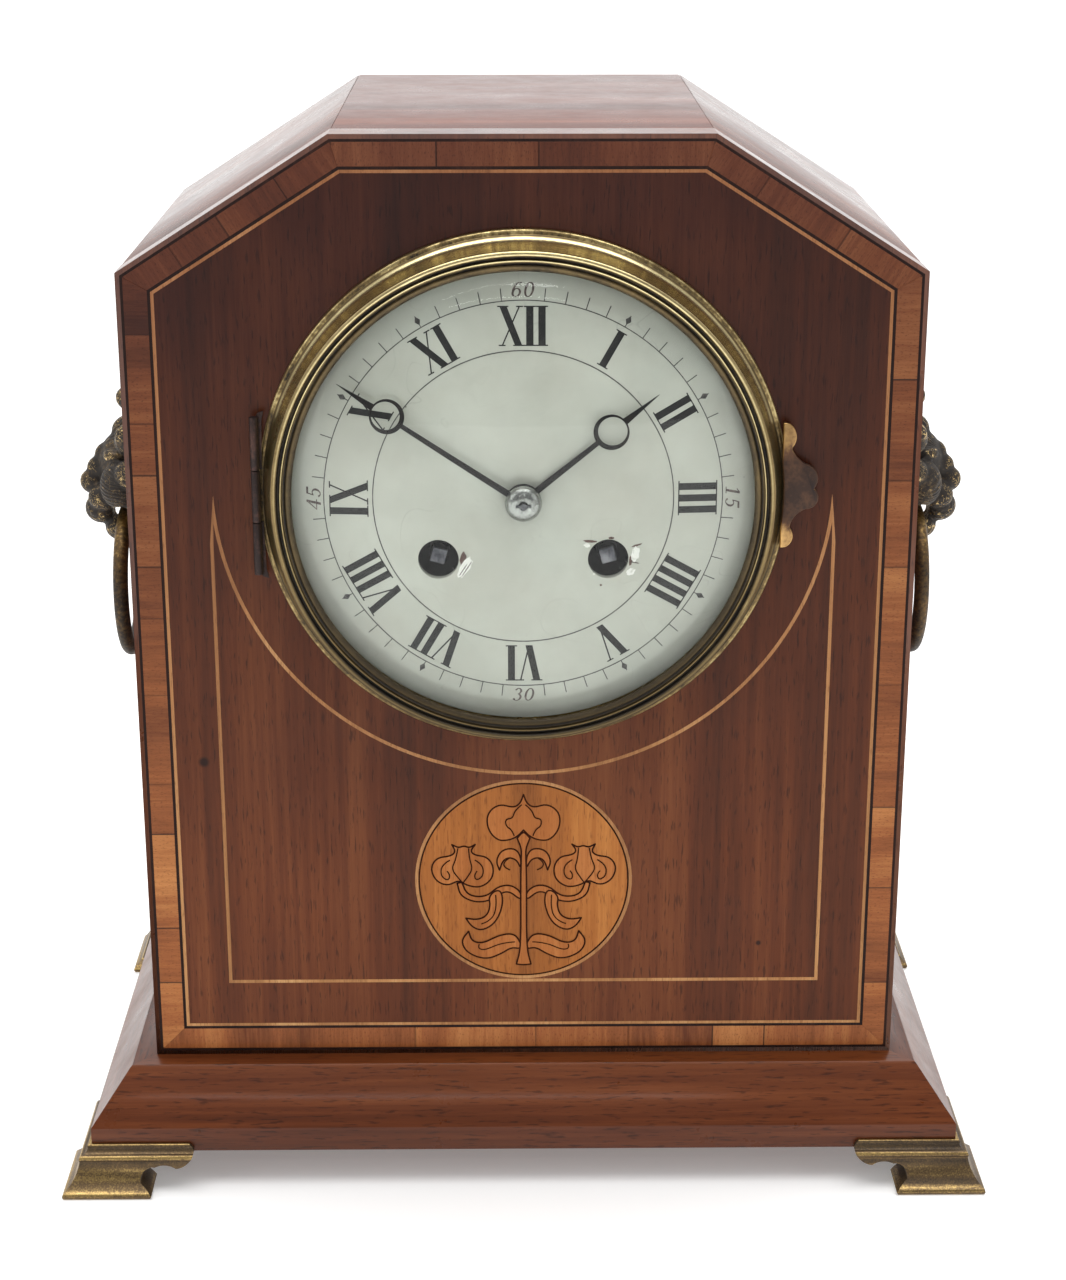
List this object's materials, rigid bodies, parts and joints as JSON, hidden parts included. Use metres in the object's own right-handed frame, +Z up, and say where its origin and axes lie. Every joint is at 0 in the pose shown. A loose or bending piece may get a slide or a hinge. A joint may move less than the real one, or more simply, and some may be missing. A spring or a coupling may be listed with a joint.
{
  "type": "bracket clock",
  "caption": "Small bracket clock: six-sided inlaid wooden case on ogee bracket feet, hinged glazed bezel over an enamel dial, mask-and-ring handles and a striking pendulum movement.",
  "frame": {"origin": "on the surface it stands on, at the middle of the bounding box", "axes": "+Z up, the dial faces -Y, +X to the right of someone facing the dial"},
  "size_m": [0.279, 0.1845, 0.3134],
  "materials": {
    "mahogany": "dark red-brown mahogany veneer, french polished",
    "crossband": "orange-brown crossbanding, grain across",
    "ebony": "black stringing",
    "boxwood": "pale stringing",
    "satinwood": "satinwood ground of the roundel",
    "pine": "softwood front board",
    "gilt_brass": "lacquered, lightly tarnished",
    "aged_brass": "dark patina, worn bright on the edges",
    "movement_brass": "brushed and lacquered",
    "steel": "polished",
    "dark_steel": "blackened",
    "enamel": "white vitreous enamel",
    "glass": "clear domed glass",
    "bell_metal": "turned bell bronze"
  },
  "bodies": {
    "case": {"side_boards": "mahogany", "top_board": "mahogany", "case_floor": "pine", "shoulder_boards": "mahogany", "front_panel": "pine", "back_panel": "pine", "field_veneer": "mahogany", "crossbanding": "crossband", "ebony_lines": "ebony", "boxwood_lines": "boxwood", "roundel": "satinwood", "plinth": "mahogany", "foot_front_left": "aged_brass", "foot_front_right": "aged_brass", "foot_rear_left": "aged_brass", "foot_rear_right": "aged_brass", "case_screws": "steel", "bezel_seat": "gilt_brass", "dial": "enamel", "front_plate": "movement_brass", "back_plate": "movement_brass", "pillars": "movement_brass", "ratchet_clicks": "steel", "suspension_cock": "movement_brass", "bell": "bell_metal", "bell_stand": "steel", "case_straps": "gilt_brass", "back_bezel": "gilt_brass", "mask_left": "aged_brass", "mask_right": "aged_brass"},
    "bezel_door": {"bezel": "gilt_brass", "bezel_tab": "gilt_brass", "glass": "glass"},
    "rear_door": {"back_door": "gilt_brass"},
    "minute_group": {"minute_hand": "dark_steel", "hand_collet": "steel", "cannon_pinion": "steel"},
    "hour_group": {"hour_hand": "dark_steel", "hour_wheel": "movement_brass"},
    "motion_group": {"minute_wheel": "movement_brass"},
    "going_barrel_body": {"going_barrel": "movement_brass"},
    "going_arbor_body": {"going_winding_arbor": "steel"},
    "second_group": {"second_wheel": "movement_brass"},
    "centre_group": {"centre_wheel": "movement_brass"},
    "third_group": {"third_wheel": "movement_brass"},
    "escape_group": {"escape_wheel": "movement_brass"},
    "pendulum_group": {"pallets": "steel", "pendulum_rod": "steel", "pendulum_bob": "movement_brass"},
    "strike_barrel_body": {"strike_barrel": "movement_brass"},
    "strike_arbor_body": {"strike_winding_arbor": "steel"},
    "strike_second_group": {"strike_second_wheel": "movement_brass"},
    "pin_group": {"pin_wheel": "movement_brass"},
    "locking_group": {"locking_wheel": "movement_brass"},
    "fly_group": {"fly": "movement_brass"},
    "lifting_group": {"lifting_lever": "steel"},
    "locking_lever_group": {"locking_lever": "steel"},
    "hammer_group": {"hammer": "steel"},
    "ring_left_body": {"ring_left": "aged_brass"},
    "ring_right_body": {"ring_right": "aged_brass"}
  },
  "joints": [
    {"name": "bezel_hinge", "type": "hinge", "parent": "case", "child": "bezel_door", "pos_m": [-0.0753, -0.0694, 0.213], "axis": [0, 0, -1], "range_deg": [0, 120]},
    {"name": "back_door_hinge", "type": "hinge", "parent": "case", "child": "rear_door", "pos_m": [-0.0606, 0.0909, 0.213], "axis": [0, 0, 1], "range_deg": [0, 115]},
    {"name": "minute_hand_turn", "type": "hinge", "parent": "case", "child": "minute_group", "pos_m": [0, -0.0655, 0.213], "axis": [0, 1, 0], "continuous": true},
    {"name": "hour_hand_turn", "type": "hinge", "parent": "case", "child": "hour_group", "pos_m": [0, -0.0655, 0.213], "axis": [0, 1, 0], "continuous": true},
    {"name": "minute_wheel_turn", "type": "hinge", "parent": "case", "child": "motion_group", "pos_m": [0, -0.0655, 0.225], "axis": [0, 1, 0], "continuous": true},
    {"name": "third_wheel_turn", "type": "hinge", "parent": "case", "child": "third_group", "pos_m": [0.00627, -0.0255, 0.22939], "axis": [0, 1, 0], "continuous": true},
    {"name": "centre_wheel_turn", "type": "hinge", "parent": "case", "child": "centre_group", "pos_m": [0, -0.0295, 0.213], "axis": [0, 1, 0], "continuous": true},
    {"name": "second_wheel_turn", "type": "hinge", "parent": "case", "child": "second_group", "pos_m": [0.01727, -0.0345, 0.2158], "axis": [0, 1, 0], "continuous": true},
    {"name": "going_barrel_turn", "type": "hinge", "parent": "case", "child": "going_barrel_body", "pos_m": [0.024, -0.0455, 0.1955], "axis": [0, 1, 0], "continuous": true},
    {"name": "escape_wheel_turn", "type": "hinge", "parent": "case", "child": "escape_group", "pos_m": [0, -0.0225, 0.2445], "axis": [0, 1, 0], "continuous": true},
    {"name": "pendulum_swing", "type": "hinge", "parent": "case", "child": "pendulum_group", "pos_m": [0, -0.0119, 0.2573], "axis": [0, 1, 0], "range_deg": [-4, 4]},
    {"name": "locking_wheel_turn", "type": "hinge", "parent": "case", "child": "locking_group", "pos_m": [-0.0118, -0.0325, 0.2371], "axis": [0, 1, 0], "continuous": true},
    {"name": "pin_wheel_turn", "type": "hinge", "parent": "case", "child": "pin_group", "pos_m": [-0.025, -0.0295, 0.2321], "axis": [0, 1, 0], "continuous": true},
    {"name": "strike_second_turn", "type": "hinge", "parent": "case", "child": "strike_second_group", "pos_m": [-0.0192, -0.0345, 0.21634], "axis": [0, 1, 0], "continuous": true},
    {"name": "strike_barrel_turn", "type": "hinge", "parent": "case", "child": "strike_barrel_body", "pos_m": [-0.024, -0.0455, 0.1955], "axis": [0, 1, 0], "continuous": true},
    {"name": "fly_turn", "type": "hinge", "parent": "case", "child": "fly_group", "pos_m": [-0.01274, -0.0455, 0.24786], "axis": [0, 1, 0], "continuous": true},
    {"name": "lifting_lever_lift", "type": "hinge", "parent": "case", "child": "lifting_group", "pos_m": [-0.0415, -0.0605, 0.225], "axis": [0, -1, 0], "range_deg": [0, 5]},
    {"name": "locking_lever_lift", "type": "hinge", "parent": "case", "child": "locking_lever_group", "pos_m": [-0.0385, -0.0355, 0.2385], "axis": [0, -1, 0], "range_deg": [0, 6.75]},
    {"name": "hammer_lift", "type": "hinge", "parent": "case", "child": "hammer_group", "pos_m": [-0.0405, -0.0155, 0.22], "axis": [0, 1, 0], "range_deg": [0, 18], "stiffness_Nm_per_rad": 0.01, "springref_deg": -8.59},
    {"name": "going_winding", "type": "hinge", "parent": "case", "child": "going_arbor_body", "pos_m": [0.024, -0.0455, 0.1955], "axis": [0, 1, 0], "range_deg": [0, 1800]},
    {"name": "strike_winding", "type": "hinge", "parent": "case", "child": "strike_arbor_body", "pos_m": [-0.024, -0.0455, 0.1955], "axis": [0, 1, 0], "range_deg": [0, 1800]},
    {"name": "ring_left_swing", "type": "hinge", "parent": "case", "child": "ring_left_body", "pos_m": [-0.1249, 0.0135, 0.186], "axis": [0, 1, 0], "range_deg": [-10, 85]},
    {"name": "ring_right_swing", "type": "hinge", "parent": "case", "child": "ring_right_body", "pos_m": [0.1249, 0.0135, 0.186], "axis": [0, -1, 0], "range_deg": [-10, 85]}
  ],
  "couplings": [
    {"joint": "hour_hand_turn", "follows": "minute_hand_turn", "ratio": 0.083333},
    {"joint": "minute_wheel_turn", "follows": "minute_hand_turn", "ratio": -0.33333},
    {"joint": "centre_wheel_turn", "follows": "third_wheel_turn", "ratio": -0.083333},
    {"joint": "second_wheel_turn", "follows": "third_wheel_turn", "ratio": 0.013889},
    {"joint": "going_barrel_turn", "follows": "third_wheel_turn", "ratio": -0.0017361},
    {"joint": "escape_wheel_turn", "follows": "third_wheel_turn", "ratio": -12},
    {"joint": "pin_wheel_turn", "follows": "locking_wheel_turn", "ratio": -0.1},
    {"joint": "strike_second_turn", "follows": "locking_wheel_turn", "ratio": 0.011111},
    {"joint": "strike_barrel_turn", "follows": "locking_wheel_turn", "ratio": -0.0013889},
    {"joint": "locking_lever_lift", "follows": "lifting_lever_lift", "ratio": 1.35},
    {"joint": "fly_turn", "follows": "locking_wheel_turn", "ratio": -8}
  ]
}
